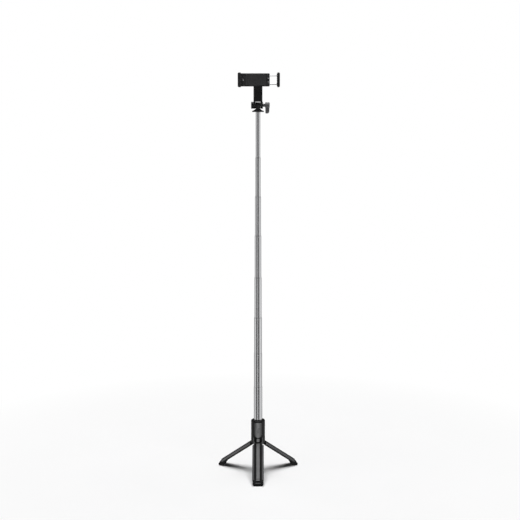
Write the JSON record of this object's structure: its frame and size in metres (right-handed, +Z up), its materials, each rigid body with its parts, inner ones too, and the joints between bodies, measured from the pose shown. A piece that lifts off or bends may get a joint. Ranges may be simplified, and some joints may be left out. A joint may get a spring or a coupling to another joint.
{
  "type": "selfie stick",
  "caption": "Telescopic selfie stick standing on fold-out tripod legs, with a tilting, swivelling spring clamp for a phone and a clip-in wireless shutter remote.",
  "frame": {"origin": "on the pole's axis in the plane of the three foot soles, with the legs open", "axes": "+Z up the pole, -Y toward the side that the remote and the phone's screen face, +X to the right seen from there"},
  "size_m": [0.1722, 0.1499, 0.8347],
  "materials": {
    "handle_plastic": "satin moulded black",
    "foot_rubber": "matte rubber",
    "tube_steel": "drawn and polished along its length",
    "sleeve_steel": "drawn tube",
    "band_brass": "spring brass",
    "hardware_steel": "zinc-plated",
    "head_plastic": "satin moulded black",
    "knob_plastic": "satin moulded dark grey",
    "clamp_plastic": "satin moulded black",
    "pad_rubber": "soft ribbed rubber",
    "remote_plastic": "satin moulded black",
    "button_plastic": "soft-touch dark grey",
    "board_green": "solder-masked board",
    "cell_metal": "plated can"
  },
  "bodies": {
    "base": {"base_sleeve": "sleeve_steel", "sleeve_end_plug": "handle_plastic", "hinge_bracket": "handle_plastic", "collar_shell": "handle_plastic", "leg_hinge_pins": "hardware_steel", "collar_screw": "hardware_steel"},
    "leg_front": {"leg_front": "handle_plastic", "foot_front": "foot_rubber"},
    "leg_left": {"leg_left": "handle_plastic", "foot_left": "foot_rubber"},
    "leg_right": {"leg_right": "handle_plastic", "foot_right": "foot_rubber"},
    "stage_1": {"tube_1": "tube_steel", "friction_sleeve_1": "band_brass"},
    "stage_2": {"tube_2": "tube_steel", "friction_sleeve_2": "band_brass"},
    "stage_3": {"tube_3": "tube_steel", "friction_sleeve_3": "band_brass"},
    "stage_4": {"tube_4": "tube_steel", "friction_sleeve_4": "band_brass"},
    "stage_5": {"tube_5": "tube_steel", "friction_sleeve_5": "band_brass"},
    "stage_6": {"tube_6": "tube_steel", "friction_sleeve_6": "band_brass"},
    "stage_7": {"tube_7": "tube_steel", "friction_sleeve_7": "band_brass"},
    "stage_8": {"tube_8": "tube_steel", "friction_sleeve_8": "band_brass", "head_cap": "head_plastic"},
    "arm": {"tilt_arm": "head_plastic", "tilt_nut": "hardware_steel", "tilt_washers": "hardware_steel"},
    "knob": {"lock_knob": "knob_plastic", "tilt_screw": "hardware_steel"},
    "clamp": {"clamp_housing": "clamp_plastic", "clamp_cover": "clamp_plastic", "cover_screws": "hardware_steel", "back_pad": "pad_rubber", "fixed_jaw_pad": "pad_rubber", "swivel_screw": "hardware_steel", "swivel_washer": "hardware_steel"},
    "jaw": {"sliding_jaw": "clamp_plastic", "sliding_jaw_pad": "pad_rubber", "guide_rods": "hardware_steel", "rod_stops": "hardware_steel", "clamp_springs": "hardware_steel"},
    "remote": {"remote_front_shell": "remote_plastic", "remote_back_shell": "remote_plastic", "circuit_board": "board_green", "coin_cell": "cell_metal"},
    "button": {"shutter_button": "button_plastic"}
  },
  "joints": [
    {"name": "pole_stage_1", "type": "slide", "parent": "base", "child": "stage_1", "axis": [0, 0, 1], "range_m": [-0.0703, 0.0195]},
    {"name": "pole_stage_2", "type": "slide", "parent": "stage_1", "child": "stage_2", "axis": [0, 0, 1], "range_m": [-0.0708, 0.019]},
    {"name": "pole_stage_3", "type": "slide", "parent": "stage_2", "child": "stage_3", "axis": [0, 0, 1], "range_m": [-0.0756, 0.0141]},
    {"name": "pole_stage_4", "type": "slide", "parent": "stage_3", "child": "stage_4", "axis": [0, 0, 1], "range_m": [-0.0831, 0.0066]},
    {"name": "pole_stage_5", "type": "slide", "parent": "stage_4", "child": "stage_5", "axis": [0, 0, 1], "range_m": [-0.0864, 0.0034]},
    {"name": "pole_stage_6", "type": "slide", "parent": "stage_5", "child": "stage_6", "axis": [0, 0, 1], "range_m": [-0.0792, 0.0105]},
    {"name": "pole_stage_7", "type": "slide", "parent": "stage_6", "child": "stage_7", "axis": [0, 0, 1], "range_m": [-0.0784, 0.0113]},
    {"name": "pole_stage_8", "type": "slide", "parent": "stage_7", "child": "stage_8", "axis": [0, 0, 1], "range_m": [-0.0896, 0]},
    {"name": "leg_front_fold", "type": "hinge", "parent": "base", "child": "leg_front", "pos_m": [0, -0.0117, 0.0654], "axis": [-1, 0, 0], "range_deg": [-54.2, 0]},
    {"name": "leg_left_fold", "type": "hinge", "parent": "base", "child": "leg_left", "pos_m": [-0.01013, 0.00585, 0.0654], "axis": [0.5, 0.866, 0], "range_deg": [-54.2, 0]},
    {"name": "leg_right_fold", "type": "hinge", "parent": "base", "child": "leg_right", "pos_m": [0.01013, 0.00585, 0.0654], "axis": [0.5, -0.866, 0], "range_deg": [-54.2, 0]},
    {"name": "head_tilt", "type": "hinge", "parent": "stage_8", "child": "arm", "pos_m": [0, 0, 0.7699], "axis": [1, 0, 0], "range_deg": [-90, 90]},
    {"name": "tilt_lock_turn", "type": "hinge", "parent": "arm", "child": "knob", "pos_m": [0, 0, 0.7699], "axis": [1, 0, 0], "range_deg": [-90, 270]},
    {"name": "clamp_swivel", "type": "hinge", "parent": "arm", "child": "clamp", "pos_m": [0, -0.0076, 0.8202], "axis": [0, 1, 0], "continuous": true},
    {"name": "jaw_slide", "type": "slide", "parent": "clamp", "child": "jaw", "axis": [1, 0, 0], "range_m": [-0.013, 0.017], "stiffness_N_per_m": 140, "deforming": ["clamp_springs"]},
    {"name": "remote_release", "type": "slide", "parent": "base", "child": "remote", "axis": [0, -1, 0], "range_m": [0, 0.018]},
    {"name": "shutter_press", "type": "slide", "parent": "remote", "child": "button", "axis": [0, 1, 0], "range_m": [0, 0.0003], "stiffness_N_per_m": 600}
  ]
}
